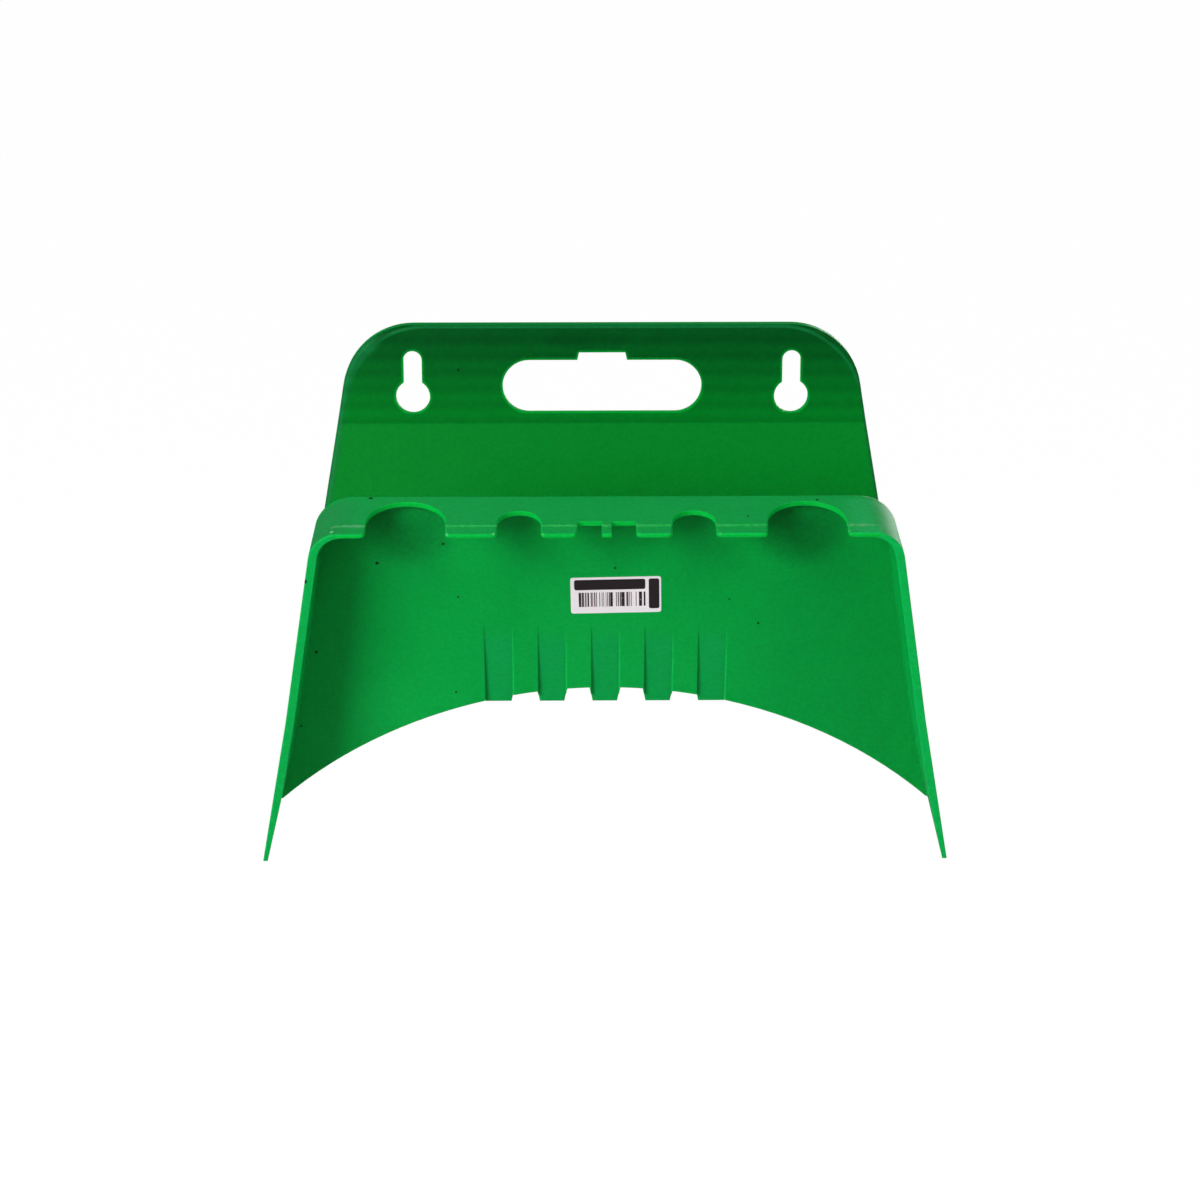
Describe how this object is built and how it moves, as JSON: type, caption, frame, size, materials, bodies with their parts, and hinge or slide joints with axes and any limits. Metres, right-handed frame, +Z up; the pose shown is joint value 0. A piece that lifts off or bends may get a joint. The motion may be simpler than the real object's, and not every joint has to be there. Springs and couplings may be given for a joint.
{
  "type": "hose hanger",
  "caption": "Wall-mounted garden hose hanger moulded in one piece: keyhole plate with a hand slot, arched saddle, leaning front flange and a rim with a notched shelf for fittings.",
  "frame": {"origin": "on the wall plane, midway between the round heads of the two keyholes", "axes": "+X to the right as seen from the front, +Y into the wall, +Z up"},
  "size_m": [0.2918, 0.1595, 0.2087],
  "materials": {
    "hanger_plastic": "semi-gloss moulded polypropylene, mid green"
  },
  "bodies": {
    "root": {"hanger_body": "hanger_plastic"}
  },
  "joints": []
}
